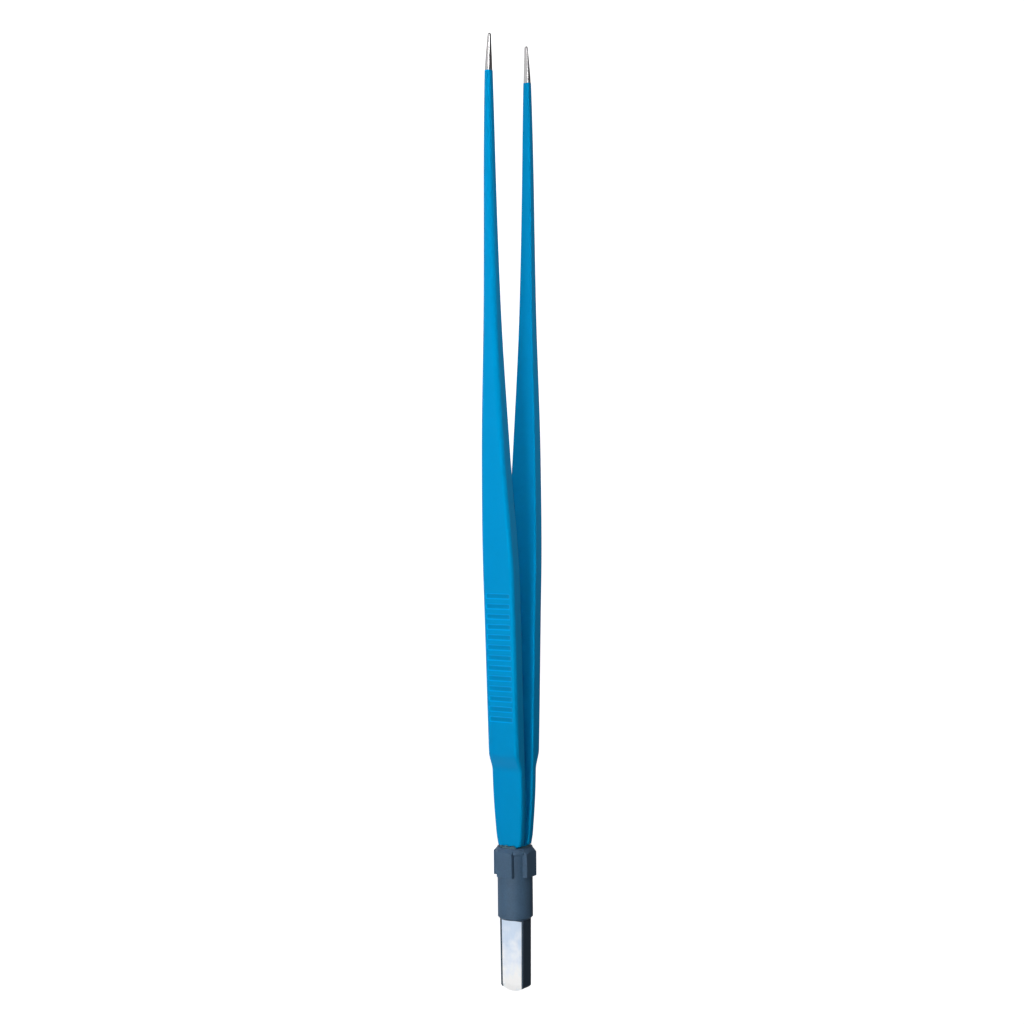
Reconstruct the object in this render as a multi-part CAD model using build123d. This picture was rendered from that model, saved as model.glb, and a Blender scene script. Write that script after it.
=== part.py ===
from build123d import *
import math
import os

# Bipolar forceps with two sprung steel tines, blue insulating coats and a flat two-contact plug.
# The forceps lie on their side: X runs from the plug to the tips, Y is the opening direction with the left
# tine at +Y, and Z is the width of the blades. All sizes are in millimetres. Stations are measured along X
# from the mouth of the collar, and are negative inside the plug.

# Reach of the tines and of the plug
tine_reach = 187.0
housing_length = 16.75
prong_length = 16.85

# Half gap between the coated inner faces, at the named stations
mouth_half_gap = 0.80
shoulder_half_gap = 1.60
grip_half_gap = 3.10
bow_half_gap = 4.95
shaft_half_gap = 6.30
upper_half_gap = 7.02
tip_half_gap = 7.28

# Coated thickness of the tine, in the opening direction
waist_thickness = 1.80
grip_thickness = 3.30
shaft_thickness = 2.80
neck_thickness = 1.65
tip_thickness = 0.72

# Coated width of the tine, across the opening direction
tail_width = 4.10
mouth_width = 6.10
foot_width = 7.10
waist_width = 8.20
grip_width = 8.50
bow_width = 6.40
shaft_width = 3.60
neck_width = 1.60
tip_width = 0.98

# Edge rounding of the coated tine
waist_edge_radius = 0.55
grip_edge_radius = 0.95
shaft_edge_radius = 1.20
inner_edge_radius = 0.32
least_edge_radius = 0.05

# Largest shares of a section's half width and depth that the edge rounding takes up
side_rounding_share = 0.85
outer_rounding_share = 0.60
inner_rounding_share = 0.33

# Where the tine changes shape, from the mouth and, for the slender end, from the tip
mouth_step_start = 0.30
mouth_step_length = 0.90
foot_round_length = 3.20
waist_station = 15.0
shoulder_start = 17.6
shoulder_length = 4.6
grip_end_station = 61.0
bow_station = 90.0
shaft_to_tip = 62.0
upper_to_tip = 32.0
bare_tip_length = 8.6
nose_length = 0.60
nose_turn = 60.0

# Sections that the tine is lofted through: how many in the tail and nose, and how far apart elsewhere
tail_sections = 3
nose_sections = 4
step_spacing = 0.18
waist_spacing = 3.7
shoulder_spacing = 0.77
shoulder_lead = 1.0
blade_spacing = 8.0
bare_tip_spacing = 2.0

# Insulating coat
coat_thickness = 0.25
coat_end_thickness = 0.08
coat_lap = 1.50

# Finger grip: ribs across the outer face
rib_count = 13
rib_pitch = 2.42
first_rib_station = 28.2
groove_depth = 0.30
groove_radius = 0.62

# Tail in the plug and the point about which the tine flexes
tail_length = 9.9
flex_station = -5.0
running_gap = 0.30
closed_tip_gap = 0.10

# Plug housing
barrel_radius = 4.10
barrel_end_chamfer = 0.50
rim_radius = 3.98
collar_lug_reach = 4.67
collar_lug_width = 4.24
collar_lug_length = 6.70
collar_top_slope = 1.25
collar_rim_length = 0.70
collar_ring_depth = 1.50
collar_ring_radius = 4.45
collar_edge_radius = 0.25
bore_radius = 3.45
bore_depth = 11.0

# Prong of the contact carrier
prong_width = 6.47
prong_end_width = 6.15
prong_thickness = 3.31
prong_nose_chamfer = 0.45
carrier_flange_length = 0.70
tongue_width = 4.0
moulding_fit = 0.02

# Contact plates
contact_side_margin = 0.48
contact_plate_thickness = 0.80
contact_margin = 0.45
contact_nose = 0.75
contact_bevel_length = 1.50
contact_bevel_depth = 0.30
solder_tab_width = 2.40
solder_gap = 0.30

# Filler in the mouth of the collar
potting_depth = 3.0
potting_crown = 0.16
potting_rim_margin = 0.10
potting_slope = 0.40

# Places that follow from the sizes above
plug_length = housing_length + prong_length
mouth_x = (plug_length - tine_reach) / 2
axis_height = collar_lug_reach
place = Pos(mouth_x, 0, axis_height)
mouth_step_end = mouth_step_start + mouth_step_length
shoulder_end = shoulder_start + shoulder_length
shaft_station = tine_reach - shaft_to_tip
upper_station = tine_reach - upper_to_tip
coat_end_station = tine_reach - bare_tip_length
tail_inner_face = mouth_half_gap + coat_thickness
tail_steel_thickness = waist_thickness - 2 * coat_thickness
flex_offset = tail_inner_face + tail_steel_thickness / 2
flange_station = -bore_depth
tongue_station = flange_station + carrier_flange_length


def smooth_value(points, station):
    """Value at a station on the smooth curve through (station, value) points, flat past its ends."""
    if station <= points[0][0]:
        return points[0][1]
    if station >= points[-1][0]:
        return points[-1][1]
    slopes = []
    for before, after in zip(points, points[1:]):
        slopes.append((after[1] - before[1]) / (after[0] - before[0]))
    tangents = [slopes[0]]
    for left, right in zip(slopes, slopes[1:]):
        same_way = left * right > 0
        tangents.append(2 * left * right / (left + right) if same_way else 0.0)
    tangents.append(slopes[-1])
    span = max(i for i, point in enumerate(points[:-1]) if point[0] <= station)
    start, end = points[span], points[span + 1]
    length = end[0] - start[0]
    u = (station - start[0]) / length
    return (
        (1 + 2 * u) * (1 - u) ** 2 * start[1]
        + u * (1 - u) ** 2 * length * tangents[span]
        + u * u * (3 - 2 * u) * end[1]
        + u * u * (u - 1) * length * tangents[span + 1]
    )


def smooth_step(station, start, length):
    """Rises from 0 to 1 over a length, with a soft start and end."""
    u = min(max((station - start) / length, 0.0), 1.0)
    return u * u * (3 - 2 * u)


def half_gap(station):
    """Distance of the coated inner face from the mid-plane."""
    return smooth_value(
        [
            (0, mouth_half_gap),
            (shoulder_start + shoulder_length / 2, shoulder_half_gap),
            (grip_end_station, grip_half_gap),
            (bow_station, bow_half_gap),
            (shaft_station, shaft_half_gap),
            (upper_station, upper_half_gap),
            (coat_end_station, tip_half_gap),
        ],
        station,
    )


def thickness(station):
    """Coated thickness of the tine: thin at the sprung waist, then thick, then tapering to the tip."""
    blade = smooth_value(
        [
            (grip_end_station, grip_thickness),
            (bow_station, grip_thickness),
            (shaft_station, shaft_thickness),
            (coat_end_station, neck_thickness),
            (tine_reach, tip_thickness),
        ],
        station,
    )
    rise = smooth_step(station, shoulder_start, shoulder_length)
    return waist_thickness + (blade - waist_thickness) * rise


def half_width(station):
    """Half the coated width of the tine."""
    blade = smooth_value(
        [
            (0, mouth_width / 2),
            (foot_round_length, foot_width / 2),
            (waist_station, waist_width / 2),
            (grip_end_station, grip_width / 2),
            (bow_station, bow_width / 2),
            (shaft_station, shaft_width / 2),
            (coat_end_station, neck_width / 2),
            (tine_reach, tip_width / 2),
        ],
        station,
    )
    foot = smooth_step(station, mouth_step_start, mouth_step_length)
    return tail_width / 2 + (blade - tail_width / 2) * foot


def edge_radius(station):
    """Rounding of the outer edges of the coated tine, where it is wide enough."""
    return smooth_value(
        [
            (shoulder_start, waist_edge_radius),
            (shoulder_end, grip_edge_radius),
            (grip_end_station, grip_edge_radius),
            (shaft_station, shaft_edge_radius),
        ],
        station,
    )


def coat_at(station):
    """Thickness of the coat, which thins out towards its bare end."""
    return smooth_value([(shaft_station, coat_thickness), (coat_end_station, coat_end_thickness)], station)


def tine_section(station, inset):
    """Cross-section of the left tine: flat inside, rounded outer edges, drawn in by the inset."""
    inner = half_gap(station) + inset
    depth = thickness(station) - 2 * inset
    width = 2 * (half_width(station) - inset)
    outer_wanted = max(edge_radius(station) - inset, least_edge_radius)
    outer_radius = min(outer_wanted, side_rounding_share * width / 2, outer_rounding_share * depth)
    inner_radius = min(max(inner_edge_radius - inset, least_edge_radius), inner_rounding_share * depth)
    outline = Pos(inner + depth / 2, 0) * Rectangle(depth, width)
    outline = fillet(outline.vertices().group_by(Axis.X)[-1], outer_radius)
    outline = fillet(outline.vertices().group_by(Axis.X)[0], inner_radius)
    plane = Plane(origin=(station, 0, 0), x_dir=(0, 1, 0), z_dir=(1, 0, 0))
    return plane * outline


def spread(start, end, spacing):
    """Evenly spaced stations from start to end, both included, no further apart than the spacing."""
    spans = math.ceil((end - start) / spacing)
    return [start + (end - start) * i / spans for i in range(spans + 1)]


def blade_stations(start):
    """Stations for the lofts, from the start to the end of the coat, closer together where the tine steps."""
    stretches = [
        (mouth_step_start, mouth_step_end, step_spacing),
        (mouth_step_end + mouth_step_length, shoulder_start - shoulder_lead, waist_spacing),
        (shoulder_start, shoulder_end, shoulder_spacing),
        (shoulder_end + shoulder_length / 2, grip_end_station, blade_spacing),
        (grip_end_station + shoulder_length, coat_end_station, blade_spacing),
    ]
    stations = [start / 2 ** i for i in range(tail_sections)] + [0]
    for low, high, spacing in stretches:
        stations += spread(low, high, spacing)
    return stations


def steel_blank():
    """Steel of the left tine, from its tail to the root of the bare tip."""
    return loft([tine_section(s, coat_at(s)) for s in blade_stations(-tail_length)])


def nose_section(angle):
    """Cross-section of the rounded nose, where its outline has turned by an angle in degrees."""
    along = math.sin(math.radians(angle)) / math.sin(math.radians(nose_turn))
    inset = (1 - math.cos(math.radians(angle))) * (tip_thickness / 2 - coat_end_thickness)
    return tine_section(tine_reach - nose_length * (1 - along), coat_end_thickness + inset)


def bare_tip():
    """Bare steel beyond the coat, ground down to a small rounded nose."""
    stations = spread(coat_end_station, tine_reach - nose_length, bare_tip_spacing)
    sections = [tine_section(s, coat_end_thickness) for s in stations]
    nose = [nose_section(nose_turn * (i + 1) / nose_sections) for i in range(nose_sections)]
    return loft(sections) + loft([sections[-1]] + nose, ruled=True)


def rib_stations():
    """Middle of each groove of the finger grip, from the plug end to the tip end."""
    return [first_rib_station + rib_pitch * i for i in range(rib_count)]


def groove_cutter(depth_below, grow):
    """Round-bottomed grooves across the outer face, one per rib, as bars along Z."""
    bars = []
    for station in rib_stations():
        face = half_gap(station) + thickness(station)
        bottom = face - depth_below
        radius = groove_radius + grow
        bars.append(Pos(station, bottom + radius, 0) * Cylinder(radius, 2 * grip_width))
    return bars


def left_steel():
    """The bare forging of the left tine."""
    blank = steel_blank() + bare_tip()
    return blank - groove_cutter(groove_depth + coat_thickness, coat_thickness)


def left_skin(steel):
    """The insulating coat: the coated outline less the steel inside it."""
    outside = loft([tine_section(s, 0) for s in blade_stations(-coat_lap)])
    return outside - groove_cutter(groove_depth, 0) - steel


def slot(low, high):
    """A block given by its lowest and highest corners."""
    size = [top - bottom for bottom, top in zip(low, high)]
    middle = [(top + bottom) / 2 for bottom, top in zip(low, high)]
    return Pos(*middle) * Box(*size)


def softened(outline, lowest_radius):
    """A turned profile with its corners rounded where they lie farther from the axis than a radius."""
    corners = [corner for corner in outline.vertices() if corner.Y > lowest_radius]
    return fillet(corners, collar_edge_radius)


def housing():
    """Moulded plug body: turned barrel, four-lugged collar, mouth for the tines, window for the prong."""
    barrel_outline = Polyline(
        (0, 0),
        (0, barrel_radius),
        (-housing_length + barrel_end_chamfer, barrel_radius),
        (-housing_length, barrel_radius - barrel_end_chamfer),
        (-housing_length, 0),
        close=True,
    )
    ring_outline = Polyline(
        (0, 0),
        (0, rim_radius),
        (-collar_rim_length, collar_ring_radius),
        (-collar_ring_depth, collar_ring_radius),
        (-collar_ring_depth, 0),
        close=True,
    )
    lug_corner = math.hypot(collar_lug_reach, collar_lug_width / 2)
    lug_outline = Polyline(
        (0, 0),
        (0, rim_radius),
        (-collar_top_slope, lug_corner),
        (-collar_lug_length, lug_corner),
        (-collar_lug_length, 0),
        close=True,
    )
    ring = revolve(softened(make_face(ring_outline), rim_radius), Axis.X)
    cap = revolve(softened(make_face(lug_outline), rim_radius), Axis.X)
    reach = 2 * collar_lug_reach
    cross = Rectangle(reach, collar_lug_width) + Rectangle(collar_lug_width, reach)
    outer_corners = [c for c in cross.vertices() if max(abs(c.X), abs(c.Y)) > collar_lug_width / 2 + collar_edge_radius]
    lugs = extrude(Plane.YZ * fillet(outer_corners, collar_edge_radius), -collar_lug_length) & cap
    barrel = revolve(make_face(barrel_outline), Axis.X)
    mouth = Pos(-bore_depth / 2, 0, 0) * Rot(0, 90, 0) * Cylinder(bore_radius, bore_depth)
    window = slot(
        (-housing_length, -prong_thickness / 2 - moulding_fit, -prong_width / 2 - moulding_fit),
        (-bore_depth, prong_thickness / 2 + moulding_fit, prong_width / 2 + moulding_fit),
    )
    return barrel + ring + lugs - mouth - window


def prong_half_width(station):
    """Half the width of the prong, which narrows to its end."""
    share = (-housing_length - station) / prong_length
    return (prong_width + (prong_end_width - prong_width) * max(share, 0)) / 2


def contact_plate(grow):
    """Left contact: inlaid plate with a rounded, bevelled nose, and the tab that the tine is soldered to."""
    face = prong_thickness / 2
    back = face - contact_plate_thickness
    root = -housing_length - contact_margin + grow
    nose = -plug_length + contact_nose
    root_half = prong_half_width(root) - contact_side_margin + grow
    nose_half = prong_half_width(nose) - contact_side_margin + grow
    edge = Polyline((nose, -nose_half), (root, -root_half), (root, root_half), (nose, nose_half))
    blade = make_face(edge + ThreePointArc((nose, nose_half), (-plug_length, 0), (nose, -nose_half)))
    plane = Plane(origin=(0, back - grow, 0), x_dir=(1, 0, 0), z_dir=(0, -1, 0))
    plate = extrude(plane * blade, -(contact_plate_thickness + grow))
    tab_half = solder_tab_width / 2 + grow
    tab_end = -tail_length - solder_gap
    tab = slot((root - contact_margin, back - grow, -tab_half), (tab_end, face - contact_margin + grow, tab_half))
    if grow:
        return plate + tab
    bevel = Polyline(
        (-plug_length + contact_bevel_length, face),
        (-plug_length, face),
        (-plug_length, face - contact_bevel_depth),
        close=True,
    )
    return plate + tab - extrude(make_face(bevel), prong_width / 2, both=True)


def carrier():
    """Insulating core: prong with a recess each side, flange in the bore, tongue between the tails."""
    half_thickness = prong_thickness / 2
    prong_end = -plug_length + contact_nose
    outline = Polyline(
        (prong_end, -prong_end_width / 2),
        (-housing_length, -prong_width / 2),
        (flange_station, -prong_width / 2),
        (flange_station, prong_width / 2),
        (-housing_length, prong_width / 2),
        (prong_end, prong_end_width / 2),
        close=True,
    )
    plane = Plane(origin=(0, half_thickness, 0), x_dir=(1, 0, 0), z_dir=(0, -1, 0))
    prong = extrude(plane * make_face(outline), prong_thickness)
    end_face = prong.faces().sort_by(Axis.X)[0]
    side_edges = end_face.edges().filter_by(Axis.Y)
    prong = chamfer(side_edges, prong_nose_chamfer)
    flange_middle = flange_station + carrier_flange_length / 2
    flange = Pos(flange_middle, 0, 0) * Rot(0, 90, 0) * Cylinder(bore_radius - moulding_fit, carrier_flange_length)
    tongue_half = tail_inner_face - running_gap
    tongue = slot((flange_station, -tongue_half, -tongue_width / 2), (-potting_depth, tongue_half, tongue_width / 2))
    recess = contact_plate(moulding_fit)
    return prong + flange + tongue - recess - mirror(recess, Plane.XZ)


def filler():
    """Bead in the mouth of the collar, crowned over the rim and open round each tine as it flexes."""
    outline = Polyline(
        (-potting_depth, 0),
        (-potting_depth, bore_radius - moulding_fit),
        (moulding_fit, bore_radius - moulding_fit),
        (moulding_fit, rim_radius - potting_rim_margin),
        (potting_crown, rim_radius - potting_rim_margin - potting_slope),
        (potting_crown, 0),
        close=True,
    )
    bead = revolve(make_face(outline), Axis.X)
    inner = mouth_half_gap - running_gap
    outer = half_gap(0) + waist_thickness + running_gap
    side = tail_width / 2 + running_gap
    passage = slot((-potting_depth - 1, inner, -side), (1, outer, side))
    return bead - passage - mirror(passage, Plane.XZ)


def closing_angle():
    """Angle in degrees that brings the tips of both tines to their closed gap."""
    reach = tine_reach - flex_station
    inner = tip_half_gap + coat_end_thickness
    rise = inner - flex_offset
    wanted = closed_tip_gap / 2 - flex_offset
    radius = math.hypot(reach, rise)
    return math.degrees(math.asin(rise / radius) - math.asin(wanted / radius))


def build():
    """Every piece of the forceps, by node name, in the object's own frame."""
    steel = left_steel()
    skin = left_skin(steel)
    contact = contact_plate(0)
    pieces = {
        "left_tine": steel,
        "right_tine": mirror(steel, Plane.XZ),
        "left_coat": skin,
        "right_coat": mirror(skin, Plane.XZ),
        "plug_housing": housing(),
        "contact_carrier": carrier(),
        "left_contact": contact,
        "right_contact": mirror(contact, Plane.XZ),
        "potting": filler(),
    }
    return {name: place * piece for name, piece in pieces.items()}


def write_parts():
    """Writes one file for each piece and prints where the tines flex and how far they close."""
    os.makedirs("parts", exist_ok=True)
    for name, piece in build().items():
        export_step(piece, f"parts/{name}.step")
    print(f"flex axis at x {mouth_x + flex_station:.3f}, y {flex_offset:.3f}, z {axis_height:.3f}")
    print(f"closing angle {closing_angle():.3f} degrees")


write_parts()
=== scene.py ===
from functools import partial
import math

import bpy
from mathutils import Matrix, Vector, noise


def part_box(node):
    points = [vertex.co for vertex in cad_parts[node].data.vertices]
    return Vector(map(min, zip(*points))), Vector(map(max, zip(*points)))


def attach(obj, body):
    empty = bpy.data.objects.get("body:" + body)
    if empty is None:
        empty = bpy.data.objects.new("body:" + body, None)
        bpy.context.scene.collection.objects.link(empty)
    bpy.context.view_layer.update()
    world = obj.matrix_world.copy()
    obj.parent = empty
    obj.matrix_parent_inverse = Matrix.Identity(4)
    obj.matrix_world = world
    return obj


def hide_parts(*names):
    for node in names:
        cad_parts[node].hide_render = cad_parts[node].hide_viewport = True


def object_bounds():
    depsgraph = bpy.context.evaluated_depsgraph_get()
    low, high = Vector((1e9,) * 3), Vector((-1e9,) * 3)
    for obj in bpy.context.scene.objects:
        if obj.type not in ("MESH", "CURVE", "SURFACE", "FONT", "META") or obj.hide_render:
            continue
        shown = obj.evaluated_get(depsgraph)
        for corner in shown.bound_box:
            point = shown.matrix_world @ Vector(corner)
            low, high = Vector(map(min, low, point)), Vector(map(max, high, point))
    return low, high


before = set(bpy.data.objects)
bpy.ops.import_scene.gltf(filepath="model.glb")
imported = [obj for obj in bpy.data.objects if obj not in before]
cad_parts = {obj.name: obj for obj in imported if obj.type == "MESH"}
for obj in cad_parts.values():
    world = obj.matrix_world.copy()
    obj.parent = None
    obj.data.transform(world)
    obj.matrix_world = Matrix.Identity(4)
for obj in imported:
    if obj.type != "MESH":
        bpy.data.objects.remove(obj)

bl_info = {
    "name": "Bipolar forceps",
    "version": (1, 0, 0),
    "blender": (4, 5, 0),
    "location": "3D View > Sidebar > Forceps",
    "description": "Finishes, ribbed coats, filler bead and studio for a pair of bipolar forceps",
    "category": "Add Mesh",
}

MM = 0.001
CAD_BOX = [list(corner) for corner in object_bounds()]
PLUG_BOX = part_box("plug_housing")
MOUTH_X = PLUG_BOX[1].x
AXIS_Z = (PLUG_BOX[0].z + PLUG_BOX[1].z) / 2
WHITE = (1, 1, 1, 1)


# Node helpers

FLOAT, COLOR, VECTOR = "NodeSocketFloat", "NodeSocketColor", "NodeSocketVector"


def feed(links, value, socket):
    """Links an output into a socket, or sets the socket to a plain value."""
    if isinstance(value, bpy.types.NodeSocket):
        links.new(value, socket)
    else:
        socket.default_value = value


def math_node(nodes, links, operation, *operands):
    """A math node whose operands are outputs or numbers; returns its output."""
    node = nodes.new("ShaderNodeMath")
    node.operation = operation
    for socket, operand in zip(node.inputs, operands):
        feed(links, operand, socket)
    return node.outputs["Value"]


def mix_node(nodes, links, kind, factor, first, second, blend="MIX"):
    """Mixes two floats or two colours, each an output or a value; returns the result."""
    node = nodes.new("ShaderNodeMix")
    node.data_type = kind
    node.blend_type = blend
    for name, value in (("Factor", factor), ("A", first), ("B", second)):
        feed(links, value, node.inputs[name])
    return node.outputs["Result"]


def range_node(nodes, links, value, source, target=(0.0, 1.0), easing="LINEAR"):
    """Maps a value from one range to another, whose ends are outputs or numbers; returns the result."""
    node = nodes.new("ShaderNodeMapRange")
    node.interpolation_type = easing
    names = ("Value", "From Min", "From Max", "To Min", "To Max")
    for name, item in zip(names, (value, *source, *target)):
        feed(links, item, node.inputs[name])
    return node.outputs["Result"]


def noise_node(nodes, links, place, scale, detail):
    """Solid noise from 0 to 1 at a place; returns its value."""
    node = nodes.new("ShaderNodeTexNoise")
    for name, value in (("Vector", place), ("Scale", scale), ("Detail", detail)):
        feed(links, value, node.inputs[name])
    return node.outputs["Fac"]


def new_group(name, kind, inputs, outputs):
    """An empty node group whose sockets are given as (name, kind) or (name, kind, default)."""
    tree = bpy.data.node_groups.new(name, kind)
    for direction, rows in (("INPUT", inputs), ("OUTPUT", outputs)):
        for label, socket_kind, *default in rows:
            socket = tree.interface.new_socket(name=label, in_out=direction, socket_type=socket_kind)
            if default:
                socket.default_value = default[0]
    return tree


# Grain shared by the finishes. Scales are in features per metre.

NOISE_SPREAD = (0.3, 0.7)
FINE_DETAIL = 3.0
BROAD_DETAIL = 2.0
BROAD_SCALE = 160.0
STREAK_DEPTH = 0.00001
FINISH_INPUTS = (
    ("Bump", FLOAT, 0.2),
    ("Base", COLOR, (0.5, 0.5, 0.5, 1)),
    ("Shift", COLOR, (0.6, 0.6, 0.6, 1)),
    ("Smooth", FLOAT, 0.3),
    ("Rough", FLOAT, 0.5),
)
FINISH_OUTPUTS = (("Color", COLOR), ("Roughness", FLOAT), ("Normal", VECTOR))


def finish_from(tree, inside, pattern, relief, depth):
    """Turns a pattern and a relief into the group's colour, roughness and normal."""
    nodes, links = tree.nodes, tree.links
    outside = nodes.new("NodeGroupOutput")
    bump = nodes.new("ShaderNodeBump")
    for name, value in (("Height", relief), ("Strength", inside.outputs["Bump"]), ("Distance", depth)):
        feed(links, value, bump.inputs[name])
    color = mix_node(nodes, links, "RGBA", pattern, inside.outputs["Base"], inside.outputs["Shift"])
    gloss = (inside.outputs["Smooth"], inside.outputs["Rough"])
    links.new(color, outside.inputs["Color"])
    links.new(range_node(nodes, links, pattern, NOISE_SPREAD, gloss), outside.inputs["Roughness"])
    links.new(bump.outputs["Normal"], outside.inputs["Normal"])


def moulded_grain_group():
    """Fine speckle of moulded or dipped plastic: colour, roughness and a bumped normal."""
    inputs = (("Scale", FLOAT, 900.0), ("Depth", FLOAT, 0.00002)) + FINISH_INPUTS
    tree = new_group("Moulded grain", "ShaderNodeTree", inputs, FINISH_OUTPUTS)
    nodes, links = tree.nodes, tree.links
    inside = nodes.new("NodeGroupInput")
    place = nodes.new("ShaderNodeTexCoord").outputs["Object"]
    fine = noise_node(nodes, links, place, inside.outputs["Scale"], FINE_DETAIL)
    broad = noise_node(nodes, links, place, BROAD_SCALE, BROAD_DETAIL)
    both = mix_node(nodes, links, "FLOAT", 0.5, fine, broad)
    finish_from(tree, inside, both, fine, inside.outputs["Depth"])


def brushed_grain_group():
    """Lengthwise grinding marks on bare metal: colour, roughness and a bumped normal."""
    inputs = (("Along", FLOAT, 60.0), ("Across", FLOAT, 5000.0)) + FINISH_INPUTS
    tree = new_group("Brushed grain", "ShaderNodeTree", inputs, FINISH_OUTPUTS)
    nodes, links = tree.nodes, tree.links
    inside = nodes.new("NodeGroupInput")
    place = nodes.new("ShaderNodeTexCoord").outputs["Object"]
    stretch = nodes.new("ShaderNodeCombineXYZ")
    for axis, name in zip("XYZ", ("Along", "Across", "Across")):
        links.new(inside.outputs[name], stretch.inputs[axis])
    scaled = nodes.new("ShaderNodeVectorMath")
    scaled.operation = "MULTIPLY"
    links.new(place, scaled.inputs[0])
    links.new(stretch.outputs["Vector"], scaled.inputs[1])
    streaks = noise_node(nodes, links, scaled.outputs["Vector"], 1.0, FINE_DETAIL)
    finish_from(tree, inside, streaks, streaks, STREAK_DEPTH)


# Materials

# Painted light on the finger grip: colour factors by how deep a point is pressed, a painted highlight at the
# grooves' lips and painted shade at their bottoms; the ramp holds them divided by the top factor.
GROOVE_SHADE_AND_HIGHLIGHT = ((0.0, 1.0), (0.04, 1.0), (0.15, 1.48), (0.45, 1.22), (0.85, 0.86), (1.0, 0.83))
SHADE_AND_HIGHLIGHT_TOP = 1.6
COAT_SPECULAR = 0.5
COAT_SPECULAR_TINT = (0.0, 0.55, 1.0, 1)
PLASTIC_SPECULAR = 0.35
# Painted shade on the steel tips where their surface turns away from the view.
TURNED_SHADE_BLEND = 0.6
TURNED_SHADE_TINT = (0.22, 0.22, 0.24, 1)
NOSE_LIGHTENING_TINT = (1.50, 1.30, 1.12, 1)
PATCH_SCALE = 420.0
PATCH_STRENGTH = 1.6


def new_material(name):
    """An empty node material with its output and one Principled shader."""
    material = bpy.data.materials.new(name)
    material.use_nodes = True
    nodes, links = material.node_tree.nodes, material.node_tree.links
    nodes.clear()
    output = nodes.new("ShaderNodeOutputMaterial")
    shader = nodes.new("ShaderNodeBsdfPrincipled")
    links.new(shader.outputs["BSDF"], output.inputs["Surface"])
    return material, nodes, links, shader


def add_grain(nodes, links, shader, group, color, tints, **values):
    """Places a grain group, sets its inputs and feeds the shader; returns the grain's colour."""
    grain = nodes.new("ShaderNodeGroup")
    grain.node_tree = bpy.data.node_groups[group]
    for name, factor in zip(("Base", "Shift"), tints):
        grain.inputs[name].default_value = tinted(color, factor)
    for name, value in values.items():
        grain.inputs[name].default_value = value
    links.new(grain.outputs["Color"], shader.inputs["Base Color"])
    links.new(grain.outputs["Roughness"], shader.inputs["Roughness"])
    links.new(grain.outputs["Normal"], shader.inputs["Normal"])
    return grain.outputs["Color"]


def tinted(color, factor):
    """The colour, lighter or darker by a factor."""
    return tuple(min(channel * factor, 1.0) for channel in color[:3]) + (1.0,)


def coat_material(color):
    """Satin blue nylon coat: fine orange peel, painted shade deepening the colour in the grooves and a painted
    highlight lightening their lips.
    """
    material, nodes, links, shader = new_material("blue_nylon_coat")
    grain = add_grain(nodes, links, shader, "Moulded grain", color, (0.96, 1.05),
                      Scale=700.0, Bump=0.12, Depth=0.00002, Smooth=0.34, Rough=0.44)
    # Painted highlight at the grooves' lips and painted shade at their bottoms, read from how deep each point
    # is pressed.
    pressed = nodes.new("ShaderNodeAttribute")
    pressed.attribute_name = "pressed"
    painted_groove_light = nodes.new("ShaderNodeValToRGB")
    stops = painted_groove_light.color_ramp.elements
    for position, _ in GROOVE_SHADE_AND_HIGHLIGHT[1:-1]:
        stops.new(position)
    for stop, (_, level) in zip(stops, GROOVE_SHADE_AND_HIGHLIGHT):
        stop.color = (level / SHADE_AND_HIGHLIGHT_TOP, level / SHADE_AND_HIGHLIGHT_TOP, level / SHADE_AND_HIGHLIGHT_TOP, 1)
    grain_with_painted_light = nodes.new("ShaderNodeVectorMath")
    grain_with_painted_light.operation = "MULTIPLY"
    painted_light_color = nodes.new("ShaderNodeVectorMath")
    painted_light_color.operation = "SCALE"
    painted_light_color.inputs["Scale"].default_value = SHADE_AND_HIGHLIGHT_TOP
    links.new(pressed.outputs["Fac"], painted_groove_light.inputs["Fac"])
    links.new(grain, grain_with_painted_light.inputs[0])
    links.new(painted_groove_light.outputs["Color"], grain_with_painted_light.inputs[1])
    links.new(grain_with_painted_light.outputs["Vector"], painted_light_color.inputs[0])
    links.new(painted_light_color.outputs["Vector"], shader.inputs["Base Color"])
    shader.inputs["Specular IOR Level"].default_value = COAT_SPECULAR
    shader.inputs["Specular Tint"].default_value = COAT_SPECULAR_TINT
    return material


def plastic_material(name, color, speckle, bump):
    """Matte moulded plastic with a visible speckle."""
    material, nodes, links, shader = new_material(name)
    add_grain(nodes, links, shader, "Moulded grain", color, (1 / speckle, speckle),
              Scale=2600.0, Bump=bump, Depth=0.00004, Smooth=0.50, Rough=0.68)
    shader.inputs["Specular IOR Level"].default_value = PLASTIC_SPECULAR
    return material


def metal_material(name, color, across, contrast, smooth, rough):
    """Bare metal with lengthwise grinding marks, and its nodes, links, shader and ground colour."""
    material, nodes, links, shader = new_material(name)
    ground = add_grain(nodes, links, shader, "Brushed grain", color, (1 - contrast, 1 + contrast),
                       Along=90.0, Across=across, Bump=0.2, Smooth=smooth, Rough=rough)
    shader.inputs["Metallic"].default_value = 1.0
    return material, nodes, links, shader, ground


def steel_material(color):
    """Satin steel of the bare tips, with painted shade darkening it where the surface turns away from the view.
    """
    material, nodes, links, shader, ground = metal_material(
        "satin_steel", color, across=1900.0, contrast=0.15, smooth=0.30, rough=0.40)
    # Painted shade: the colour darkens towards the edges that turn away from the view.
    turned = nodes.new("ShaderNodeLayerWeight")
    turned.inputs["Blend"].default_value = TURNED_SHADE_BLEND
    painted_border_shade = mix_node(nodes, links, "RGBA", turned.outputs["Facing"], ground, TURNED_SHADE_TINT, "MULTIPLY")
    links.new(painted_border_shade, shader.inputs["Base Color"])
    return material


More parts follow.
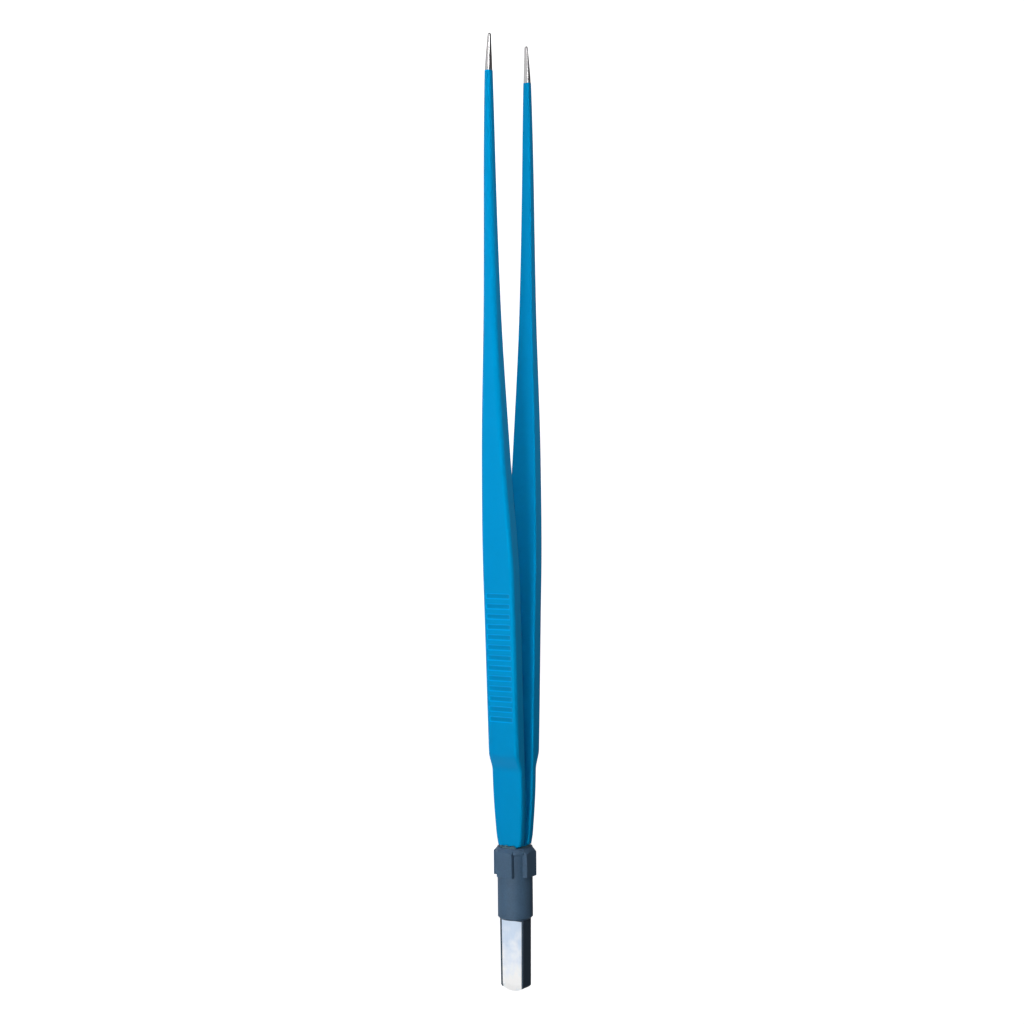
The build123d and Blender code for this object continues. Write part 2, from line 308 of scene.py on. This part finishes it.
def contact_material(color):
    """Plated contact, bluer by the barrel and lighter in patches towards its nose."""
    material, nodes, links, shader, ground = metal_material(
        "plated_contact", color, across=5200.0, contrast=0.08, smooth=0.30, rough=0.42)
    place = nodes.new("ShaderNodeTexCoord").outputs["Object"]
    parts = nodes.new("ShaderNodeSeparateXYZ")
    links.new(place, parts.inputs["Vector"])
    reach = range_node(nodes, links, parts.outputs["X"], (PLUG_BOX[0].x, CAD_BOX[0][0]))
    patches = noise_node(nodes, links, place, PATCH_SCALE, BROAD_DETAIL)
    centred = math_node(nodes, links, "SUBTRACT", patches, 0.5)
    lumpy = math_node(nodes, links, "MULTIPLY", centred, PATCH_STRENGTH)
    share = math_node(nodes, links, "ADD", reach, lumpy)
    # The colour is multiplied lighter towards the nose, broken into patches by noise.
    lightened = mix_node(nodes, links, "RGBA", share, ground, NOSE_LIGHTENING_TINT, "MULTIPLY")
    links.new(lightened, shader.inputs["Base Color"])
    return material


def dress(node, material):
    """Puts one material on a CAD node that is shown as it is."""
    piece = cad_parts[node]
    piece.data.materials.clear()
    piece.data.materials.append(material)


class FinishSettings(bpy.types.PropertyGroup):
    """Colours of the forceps."""
    coat_color: bpy.props.FloatVectorProperty(
        name="Coat colour", description="Colour of the nylon coats", subtype="COLOR", size=3,
        default=(0.0, 0.29, 0.62))
    plug_color: bpy.props.FloatVectorProperty(
        name="Plug colour", description="Colour of the moulded plug", subtype="COLOR", size=3,
        default=(0.058, 0.114, 0.190))
    carrier_color: bpy.props.FloatVectorProperty(
        name="Carrier colour", description="Colour of the prong's insulating core", subtype="COLOR", size=3,
        default=(0.036, 0.062, 0.095))
    steel_color: bpy.props.FloatVectorProperty(
        name="Steel colour", description="Colour of the bare tips", subtype="COLOR", size=3,
        default=(0.62, 0.61, 0.61))
    contact_color: bpy.props.FloatVectorProperty(
        name="Contact colour", description="Colour of the plated contacts", subtype="COLOR", size=3,
        default=(0.68, 0.79, 0.95))
    filler_color: bpy.props.FloatVectorProperty(
        name="Filler colour", description="Colour of the filler in the collar", subtype="COLOR", size=3,
        default=(0.11, 0.20, 0.24))


class FORCEPS_OT_finishes(bpy.types.Operator):
    """Makes the shared shader groups and dresses the nodes that are shown as modelled"""
    bl_idname = "forceps.finishes"
    bl_label = "Finishes"

    def execute(self, context):
        look = context.scene.forceps_finish
        moulded_grain_group()
        brushed_grain_group()
        coat_material(look.coat_color)
        plug = plastic_material("slate_moulded_plug", look.plug_color, speckle=1.45, bump=0.60)
        core = plastic_material("dark_contact_carrier", look.carrier_color, speckle=1.30, bump=0.45)
        plastic_material("rough_filler", look.filler_color, speckle=1.5, bump=0.9)
        steel = steel_material(look.steel_color)
        contact = contact_material(look.contact_color)
        for side in ("left", "right"):
            dress(f"{side}_tine", steel)
            dress(f"{side}_contact", contact)
        dress("plug_housing", plug)
        dress("contact_carrier", core)
        return {"FINISHED"}


# Coats. Stations and sizes are in millimetres, and stations run from the mouth of the collar to the tip.

TIP = (CAD_BOX[1][0] - MOUTH_X) / MM
COAT_START = -1.5
FOOT_STEP = (0.05, 0.45)
FOOT_ROUND_END = 3.2
WAIST = 15.0
SHOULDER = (17.6, 4.6)
SHOULDER_MIDDLE = SHOULDER[0] + SHOULDER[1] / 2
GRIP_END = 61.0
BOW = 90.0
SHAFT = TIP - 62.0
UPPER = TIP - 32.0
COAT_END = TIP - 8.6

HALF_GAP = (
    (0, 0.80), (SHOULDER_MIDDLE, 1.60), (GRIP_END, 3.10), (BOW, 4.95), (SHAFT, 6.30), (UPPER, 7.02),
    (COAT_END, 7.28),
)
THICKNESS = ((GRIP_END, 3.30), (BOW, 3.30), (SHAFT, 2.80), (COAT_END, 1.65), (TIP, 0.72))
HALF_WIDTH = (
    (0, 3.05), (FOOT_ROUND_END, 3.55), (WAIST, 4.10), (GRIP_END, 4.25), (BOW, 3.20), (SHAFT, 1.80),
    (COAT_END, 0.80), (TIP, 0.49),
)
EDGE_ROUND = ((SHOULDER[0], 0.55), (sum(SHOULDER), 0.95), (GRIP_END, 0.95), (SHAFT, 1.20))
COAT_WALL = ((SHAFT, 0.25), (COAT_END, 0.08))
WAIST_THICKNESS = 1.80
TAIL_HALF_WIDTH = 2.05
INNER_ROUND = 0.32
LEAST_ROUND = 0.05
SIDE_SHARE = 0.85
OUTER_SHARE = 0.60
INNER_SHARE = 0.33

CORNER_STEPS = 8
FLAT_STEPS = 8
GRIP_SPACING = 0.1
CLEAR_OF_GROOVES = 1.0
SHARP_ANGLE = math.radians(50)


def curve_value(points, station):
    """Value at a station on the smooth curve through (station, value) points, flat past its ends."""
    if station <= points[0][0]:
        return points[0][1]
    if station >= points[-1][0]:
        return points[-1][1]
    slopes = [(b[1] - a[1]) / (b[0] - a[0]) for a, b in zip(points, points[1:])]
    tangents = [slopes[0]]
    for left, right in zip(slopes, slopes[1:]):
        tangents.append(2 * left * right / (left + right) if left * right > 0 else 0.0)
    tangents.append(slopes[-1])
    span = max(i for i, point in enumerate(points[:-1]) if point[0] <= station)
    start, end = points[span], points[span + 1]
    length = end[0] - start[0]
    u = (station - start[0]) / length
    return ((1 + 2 * u) * (1 - u) ** 2 * start[1] + u * (1 - u) ** 2 * length * tangents[span]
            + u * u * (3 - 2 * u) * end[1] + u * u * (u - 1) * length * tangents[span + 1])


def soft_step(station, start, length):
    """Rises from 0 to 1 over a length, with a soft start and end."""
    u = min(max((station - start) / length, 0.0), 1.0)
    return u * u * (3 - 2 * u)


def coat_outline(station, inset):
    """Outline of the left coat at a station, drawn in by the inset: (y, z) points and the outer face's y."""
    rise = soft_step(station, *SHOULDER)
    thickness = WAIST_THICKNESS + (curve_value(THICKNESS, station) - WAIST_THICKNESS) * rise
    foot = soft_step(station, *FOOT_STEP)
    half_width = TAIL_HALF_WIDTH + (curve_value(HALF_WIDTH, station) - TAIL_HALF_WIDTH) * foot
    inner = curve_value(HALF_GAP, station) + inset
    depth = thickness - 2 * inset
    half = half_width - inset
    face = inner + depth
    wanted = max(curve_value(EDGE_ROUND, station) - inset, LEAST_ROUND)
    outer_round = min(wanted, SIDE_SHARE * half, OUTER_SHARE * depth)
    inner_round = min(max(INNER_ROUND - inset, LEAST_ROUND), INNER_SHARE * depth)
    corners = (
        (face - outer_round, half - outer_round, outer_round, 0),
        (inner + inner_round, half - inner_round, inner_round, 90),
        (inner + inner_round, inner_round - half, inner_round, 180),
        (face - outer_round, outer_round - half, outer_round, 270),
    )
    arcs = []
    for y, z, radius, first in corners:
        angles = [math.radians(first + 90 * i / CORNER_STEPS) for i in range(CORNER_STEPS + 1)]
        arcs.append([(y + radius * math.cos(a), z + radius * math.sin(a)) for a in angles])
    points = []
    for arc, following in zip(arcs, arcs[1:] + arcs[:1]):
        points += arc
        (y0, z0), (y1, z1) = arc[-1], following[0]
        for i in range(1, FLAT_STEPS):
            share = soft_step(i / FLAT_STEPS, 0, 1)
            points.append((y0 + (y1 - y0) * share, z0 + (z1 - z0) * share))
    return points, face


def coat_stations(grip_start, grip_end):
    """Stations along the coat, close together over the finger grip and where the outline steps."""
    stretches = (
        (COAT_START, FOOT_STEP[0], 4),
        (FOOT_STEP[0], sum(FOOT_STEP), 8),
        (sum(FOOT_STEP), SHOULDER[0], 30),
        (SHOULDER[0], sum(SHOULDER), 16),
        (sum(SHOULDER), grip_start, 5),
        (grip_start, grip_end, round((grip_end - grip_start) / GRIP_SPACING)),
        (grip_end, COAT_END, 120),
    )
    stations = [COAT_START]
    for low, high, steps in stretches:
        stations += [low + (high - low) * (i + 1) / steps for i in range(steps)]
    return stations


def coat_shell(side, grip_start, grip_end):
    """Mesh of one coat as a thin tube. Each point keeps the height above which grooves press it in."""
    stations = coat_stations(grip_start, grip_end)
    sign = 1 if side == "left" else -1
    vertices, faces, heights = [], [], []
    rings = [(s, 0.0) for s in stations] + [(s, curve_value(COAT_WALL, s)) for s in reversed(stations)]
    for station, inset in rings:
        points, face = coat_outline(station, inset)
        vertices += [(MOUTH_X + station * MM, sign * y * MM, AXIS_Z + z * MM) for y, z in points]
        rounded = len(points) - FLAT_STEPS + 1
        heights += [(face + CLEAR_OF_GROOVES) * MM] * rounded + [face * MM] * (FLAT_STEPS - 1)
    around = len(points)
    for ring in range(len(rings)):
        here, there = ring * around, (ring + 1) % len(rings) * around
        for i in range(around):
            j = (i + 1) % around
            quad = (here + i, there + i, there + j, here + j)
            faces.append(quad if sign < 0 else quad[::-1])
    mesh = bpy.data.meshes.new(f"{side}_coat_shell")
    mesh.from_pydata(vertices, [], faces)
    mesh.attributes.new("face_height", "FLOAT", "POINT").data.foreach_set("value", heights)
    mesh.shade_smooth()
    mesh.update()
    return mesh


def groove_tree():
    """Geometry Nodes tree that presses evenly spaced grooves into the outer face of a coat."""
    inputs = (
        ("Geometry", "NodeSocketGeometry"),
        ("First groove", FLOAT),
        ("Pitch", FLOAT),
        ("Count", "NodeSocketInt"),
        ("Depth", FLOAT),
        ("Bottom width", FLOAT),
        ("Top width", FLOAT),
        ("Material", "NodeSocketMaterial"),
    )
    outputs = (("Geometry", "NodeSocketGeometry"),)
    tree = new_group("Finger grip grooves", "GeometryNodeTree", inputs, outputs)
    nodes, links = tree.nodes, tree.links
    calc = partial(math_node, nodes, links)
    given = nodes.new("NodeGroupInput").outputs
    outside = nodes.new("NodeGroupOutput")
    parts = nodes.new("ShaderNodeSeparateXYZ")
    links.new(nodes.new("GeometryNodeInputPosition").outputs["Position"], parts.inputs["Vector"])
    height = nodes.new("GeometryNodeInputNamedAttribute")
    height.data_type = "FLOAT"
    height.inputs["Name"].default_value = "face_height"
    height = height.outputs["Attribute"]

    # Distance from the middle of the nearest groove
    along = calc("SUBTRACT", parts.outputs["X"], given["First groove"])
    turns = calc("ROUND", calc("DIVIDE", along, given["Pitch"]))
    index = calc("MINIMUM", calc("MAXIMUM", turns, 0.0), calc("SUBTRACT", given["Count"], 1.0))
    away = calc("ABSOLUTE", calc("SUBTRACT", along, calc("MULTIPLY", index, given["Pitch"])))

    # Points above the groove's profile come down to it
    widths = (calc("MULTIPLY", given["Bottom width"], 0.5), calc("MULTIPLY", given["Top width"], 0.5))
    profile = range_node(nodes, links, away, widths, (given["Depth"], 0.0), "SMOOTHSTEP")
    reach = calc("ABSOLUTE", parts.outputs["Y"])
    kept = calc("MINIMUM", reach, calc("SUBTRACT", height, profile))
    moved = nodes.new("ShaderNodeCombineXYZ")
    links.new(parts.outputs["X"], moved.inputs["X"])
    links.new(calc("MULTIPLY", kept, calc("SIGN", parts.outputs["Y"])), moved.inputs["Y"])
    links.new(parts.outputs["Z"], moved.inputs["Z"])

    # How deep each point is pressed, from 0 to 1, is kept for the material, which paints shade and highlight
    # into the grooves from it.
    flat = calc("GREATER_THAN", reach, calc("SUBTRACT", height, given["Depth"]))
    mark = nodes.new("GeometryNodeStoreNamedAttribute")
    mark.data_type = "FLOAT"
    mark.domain = "POINT"
    mark.inputs["Name"].default_value = "pressed"
    links.new(calc("MULTIPLY", flat, calc("DIVIDE", profile, given["Depth"])), mark.inputs["Value"])

    press = nodes.new("GeometryNodeSetPosition")
    realize = nodes.new("GeometryNodeRealizeInstances")
    finish = nodes.new("GeometryNodeSetMaterial")
    links.new(moved.outputs["Vector"], press.inputs["Position"])
    links.new(given["Material"], finish.inputs["Material"])
    links.new(given["Geometry"], mark.inputs["Geometry"])
    for first, second in ((mark, press), (press, realize), (realize, finish), (finish, outside)):
        links.new(first.outputs["Geometry"], second.inputs["Geometry"])
    return tree


def apply_tree(piece, tree, values):
    """Runs a tree on an object with the named values and keeps the result as its plain mesh."""
    modifier = piece.modifiers.new(tree.name, "NODES")
    modifier.node_group = tree
    sockets = {item.name: item.identifier for item in tree.interface.items_tree if item.in_out == "INPUT"}
    for name, value in values.items():
        modifier[sockets[name]] = value
    depsgraph = bpy.context.evaluated_depsgraph_get()
    mesh = bpy.data.meshes.new_from_object(piece.evaluated_get(depsgraph))
    piece.modifiers.remove(modifier)
    old = piece.data
    piece.data = mesh
    bpy.data.meshes.remove(old)


class CoatSettings(bpy.types.PropertyGroup):
    """Sizes of the finger grip on the coats."""
    groove_count: bpy.props.IntProperty(
        name="Grooves", description="Number of grooves in the finger grip", default=13)
    groove_pitch: bpy.props.FloatProperty(
        name="Groove pitch", description="Distance between grooves", default=0.00237, unit="LENGTH")
    first_groove: bpy.props.FloatProperty(
        name="First groove", description="From the mouth of the collar to the first groove", default=0.0300,
        unit="LENGTH")
    groove_depth: bpy.props.FloatProperty(
        name="Groove depth", description="Depth of the grooves below the outer face", default=0.00018,
        unit="LENGTH")
    groove_bottom: bpy.props.FloatProperty(
        name="Groove bottom", description="Width of a groove at its bottom", default=0.00048, unit="LENGTH")
    groove_top: bpy.props.FloatProperty(
        name="Groove top", description="Width of a groove at the outer face", default=0.00155, unit="LENGTH")


class FORCEPS_OT_coats(bpy.types.Operator):
    """Builds both blue coats with their ribbed finger grips"""
    bl_idname = "forceps.coats"
    bl_label = "Coats"

    def execute(self, context):
        grip = context.scene.forceps_coat
        tree = groove_tree()
        margin = grip.groove_pitch / 2
        grip_length = grip.groove_pitch * (grip.groove_count - 1)
        start = (grip.first_groove - margin) / MM
        end = (grip.first_groove + grip_length + margin) / MM
        for side in ("left", "right"):
            coat = bpy.data.objects.new(f"{side}_coat_ribbed", coat_shell(side, start, end))
            context.scene.collection.objects.link(coat)
            apply_tree(coat, tree, {
                "First groove": MOUTH_X + grip.first_groove,
                "Pitch": grip.groove_pitch,
                "Count": grip.groove_count,
                "Depth": grip.groove_depth,
                "Bottom width": grip.groove_bottom,
                "Top width": grip.groove_top,
                "Material": bpy.data.materials["blue_nylon_coat"],
            })
            coat.data.set_sharp_from_angle(angle=SHARP_ANGLE)
            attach(coat, f"{side}_arm")
            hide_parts(f"{side}_coat")
        return {"FINISHED"}


# Filler

CRUST_MEAN = 0.65
CRUST_SWING = 0.6
CRUST_LEAST = 0.15
CRUST_ROUGHNESS = 1.0
CRUST_LACUNARITY = 2.0
CRUST_OCTAVES = 3
WELD_DISTANCE = 1e-6


def crust_height(y, z, settings):
    """How far the set filler stands above the mouth at a place, flat where a tine's foot overhangs it."""
    if abs(y) < settings.foot_reach:
        return 0.0
    place = Vector((y, z, 0)) / settings.crust_grain
    lumps = noise.fractal(place, CRUST_ROUGHNESS, CRUST_LACUNARITY, CRUST_OCTAVES)
    return settings.crust_height * min(max(CRUST_MEAN + CRUST_SWING * lumps, CRUST_LEAST), 1.0)


class FillerSettings(bpy.types.PropertyGroup):
    """Sizes of the lumpy filler in the mouth of the collar."""
    voxel: bpy.props.FloatProperty(
        name="Voxel", description="Size of the facets of the filler", default=0.00010, unit="LENGTH")
    crust_grain: bpy.props.FloatProperty(
        name="Grain", description="Size of the lumps", default=0.00075, unit="LENGTH")
    crust_height: bpy.props.FloatProperty(
        name="Height", description="Highest lump above the mouth of the collar", default=0.00070, unit="LENGTH")
    foot_reach: bpy.props.FloatProperty(
        name="Foot reach", description="Distance from the mid-plane that the feet overhang",
        default=0.00290, unit="LENGTH")


class FORCEPS_OT_filler(bpy.types.Operator):
    """Roughens the filler bead in the mouth of the collar"""
    bl_idname = "forceps.filler"
    bl_label = "Filler"

    def execute(self, context):
        settings = context.scene.forceps_filler
        bead = bpy.data.objects.new("filler_bead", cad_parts["potting"].data.copy())
        context.scene.collection.objects.link(bead)
        weld = bead.modifiers.new("weld", "WELD")
        weld.merge_threshold = WELD_DISTANCE
        remesh = bead.modifiers.new("remesh", "REMESH")
        remesh.mode = "VOXEL"
        remesh.voxel_size = settings.voxel
        depsgraph = context.evaluated_depsgraph_get()
        mesh = bpy.data.meshes.new_from_object(bead.evaluated_get(depsgraph))
        bead.modifiers.clear()
        bead.data = mesh
        for vertex in mesh.vertices:
            if vertex.co.x > MOUTH_X:
                vertex.co.x = MOUTH_X + crust_height(vertex.co.y, vertex.co.z - AXIS_Z, settings)
        mesh.materials.clear()
        mesh.materials.append(bpy.data.materials["rough_filler"])
        mesh.shade_smooth()
        mesh.update()
        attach(bead, "plug")
        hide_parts("potting")
        return {"FINISHED"}


# Studio

FLOOR_RADIUS = 3.0
FLOOR_SIDES = 64
FLOOR_COLOR = (0.86, 0.86, 0.86, 1)
FLOOR_ROUGHNESS = 0.9
FLOOR_SEEN = 0.96
FLOOR_MIRRORED = 0.60
PICTURE_WIDTH = 1024
SENSOR_WIDTH = 36.0
CLIP_START = 0.01
CLIP_END = 20.0
TIP_SPREAD = math.radians(42)


def add_area(name, place, target_x, size, power):
    """A soft rectangular lamp aimed at a place along the forceps."""
    lamp = bpy.data.lights.new(name, "AREA")
    lamp.shape = "RECTANGLE"
    lamp.size, lamp.size_y = size
    lamp.energy = power
    item = bpy.data.objects.new(name, lamp)
    bpy.context.scene.collection.objects.link(item)
    item.location = place
    item.rotation_mode = "QUATERNION"
    item.rotation_quaternion = (Vector((target_x, 0, AXIS_Z)) - Vector(place)).to_track_quat("-Z", "X")
    return lamp


def floor_material():
    """Pale floor that the camera sees as white, with the soft shadow kept."""
    material, nodes, links, shader = new_material("pale_floor")
    shader.inputs["Base Color"].default_value = FLOOR_COLOR
    shader.inputs["Roughness"].default_value = FLOOR_ROUGHNESS
    shader.inputs["Specular IOR Level"].default_value = 0.0
    shader.inputs["Emission Color"].default_value = WHITE
    path = nodes.new("ShaderNodeLightPath")
    seen = math_node(nodes, links, "MULTIPLY", path.outputs["Is Camera Ray"], FLOOR_SEEN)
    mirrored = math_node(nodes, links, "MULTIPLY", path.outputs["Is Glossy Ray"], FLOOR_MIRRORED)
    links.new(math_node(nodes, links, "MAXIMUM", seen, mirrored), shader.inputs["Emission Strength"])
    return material


def add_floor():
    """A wide round floor under the forceps."""
    mesh = bpy.data.meshes.new("floor")
    turns = [2 * math.pi * i / FLOOR_SIDES for i in range(FLOOR_SIDES)]
    ring = [(FLOOR_RADIUS * math.cos(turn), FLOOR_RADIUS * math.sin(turn), 0) for turn in turns]
    mesh.from_pydata(ring, [], [tuple(range(FLOOR_SIDES))])
    mesh.materials.append(floor_material())
    floor = bpy.data.objects.new("floor", mesh)
    bpy.context.scene.collection.objects.link(floor)


def add_world(strength):
    """Pale surroundings that the camera sees as white."""
    world = bpy.data.worlds.new("pale_surroundings")
    bpy.context.scene.world = world
    world.use_nodes = True
    nodes, links = world.node_tree.nodes, world.node_tree.links
    nodes.clear()
    output = nodes.new("ShaderNodeOutputWorld")
    path = nodes.new("ShaderNodeLightPath")
    mixed = nodes.new("ShaderNodeMixShader")
    links.new(path.outputs["Is Camera Ray"], mixed.inputs["Fac"])
    for slot, level in ((1, strength), (2, 1.0)):
        light = nodes.new("ShaderNodeBackground")
        light.inputs["Color"].default_value = WHITE
        light.inputs["Strength"].default_value = level
        links.new(light.outputs["Background"], mixed.inputs[slot])
    links.new(mixed.outputs["Shader"], output.inputs["Surface"])


def add_camera(studio):
    """Camera on the side of the left tine, looking down, with the tips at the top of the picture."""
    data = bpy.data.cameras.new("camera")
    camera = bpy.data.objects.new("camera", data)
    bpy.context.scene.collection.objects.link(camera)
    data.sensor_width = SENSOR_WIDTH
    data.lens = studio.focal_pixels / PICTURE_WIDTH * SENSOR_WIDTH
    data.clip_start, data.clip_end = CLIP_START, CLIP_END
    rise = studio.camera_elevation
    back = Vector((0, math.cos(rise), math.sin(rise)))
    foot = Vector((studio.camera_foot, 0, AXIS_Z))
    location = foot + back * studio.camera_distance
    aim = Vector((studio.camera_aim, 0, AXIS_Z))
    forward = (aim - location).normalized()
    right = forward.cross(Vector((1, 0, 0))).normalized()
    up = right.cross(forward)
    turn = Matrix.Rotation(studio.camera_roll, 3, forward)
    right, up = turn @ right, turn @ up
    camera.matrix_world = Matrix((
        (right.x, up.x, -forward.x, location.x),
        (right.y, up.y, -forward.y, location.y),
        (right.z, up.z, -forward.z, location.z),
        (0, 0, 0, 1),
    ))
    bpy.context.scene.camera = camera


class StudioSettings(bpy.types.PropertyGroup):
    """Camera and lamps."""
    camera_distance: bpy.props.FloatProperty(
        name="Camera distance", description="From the camera to the axis of the forceps", default=0.4119,
        unit="LENGTH")
    camera_elevation: bpy.props.FloatProperty(
        name="Camera elevation", description="Height of the camera above the side of the left tine",
        default=math.radians(33.89), subtype="ANGLE")
    camera_roll: bpy.props.FloatProperty(
        name="Camera roll", description="Lean of the forceps in the picture", default=math.radians(0.498),
        subtype="ANGLE")
    camera_foot: bpy.props.FloatProperty(
        name="Camera foot", description="Place along the forceps that the camera stands square to",
        default=0.00626, unit="LENGTH")
    camera_aim: bpy.props.FloatProperty(
        name="Camera aim", description="Place along the forceps in the middle of the picture",
        default=0.00099, unit="LENGTH")
    focal_pixels: bpy.props.FloatProperty(
        name="Focal length in pixels", description="Focal length for a picture 1024 pixels wide",
        default=1773.7)
    key_power: bpy.props.FloatProperty(
        name="Key power", description="Power of the low soft light beside the left tine", default=1.12,
        subtype="POWER")
    top_power: bpy.props.FloatProperty(
        name="Top power", description="Power of the high soft light behind the right tine", default=0.44,
        subtype="POWER")
    tip_power: bpy.props.FloatProperty(
        name="Tip power", description="Power of the higher light over the slender half", default=0.070,
        subtype="POWER")
    world_light: bpy.props.FloatProperty(
        name="World light", description="Strength of the pale surroundings", default=0.03)


class FORCEPS_OT_studio(bpy.types.Operator):
    """Sets the floor, the lamps, the surroundings and the camera"""
    bl_idname = "forceps.studio"
    bl_label = "Studio"

    def execute(self, context):
        studio = context.scene.forceps_studio
        context.scene.view_settings.view_transform = "Standard"
        add_floor()
        add_world(studio.world_light)
        add_area("key_lamp", place=(-0.07, 0.36, 0.020), target_x=-0.06, size=(0.20, 0.030),
                 power=studio.key_power)
        add_area("top_lamp", place=(0.05, -0.34, 0.56), target_x=0, size=(0.60, 0.30),
                 power=studio.top_power)
        tips = add_area("tip_lamp", place=(0.26, 0.32, 0.24), target_x=0.052, size=(0.16, 0.10),
                        power=studio.tip_power)
        tips.spread = TIP_SPREAD
        add_camera(studio)
        return {"FINISHED"}


# Add-on

class FORCEPS_PT_sidebar(bpy.types.Panel):
    """Lists the steps that build the dressed forceps"""
    bl_label = "Forceps"
    bl_space_type = "VIEW_3D"
    bl_region_type = "UI"
    bl_category = "Forceps"

    def draw(self, context):
        for step in STEPS:
            self.layout.operator(step.bl_idname)


STEPS = (FORCEPS_OT_finishes, FORCEPS_OT_coats, FORCEPS_OT_filler, FORCEPS_OT_studio)
CLASSES = (FinishSettings, CoatSettings, FillerSettings, StudioSettings) + STEPS + (FORCEPS_PT_sidebar,)


def register():
    """Registers the settings, the operators and the panel."""
    for cls in CLASSES:
        bpy.utils.register_class(cls)
    bpy.types.Scene.forceps_finish = bpy.props.PointerProperty(type=FinishSettings)
    bpy.types.Scene.forceps_coat = bpy.props.PointerProperty(type=CoatSettings)
    bpy.types.Scene.forceps_filler = bpy.props.PointerProperty(type=FillerSettings)
    bpy.types.Scene.forceps_studio = bpy.props.PointerProperty(type=StudioSettings)


def unregister():
    """Removes what register added."""
    del bpy.types.Scene.forceps_studio
    del bpy.types.Scene.forceps_filler
    del bpy.types.Scene.forceps_coat
    del bpy.types.Scene.forceps_finish
    for cls in reversed(CLASSES):
        bpy.utils.unregister_class(cls)


def main():
    """Builds every piece in order."""
    register()
    bpy.ops.forceps.finishes()
    bpy.ops.forceps.coats()
    bpy.ops.forceps.filler()
    bpy.ops.forceps.studio()


if __name__ == "__main__":
    main()
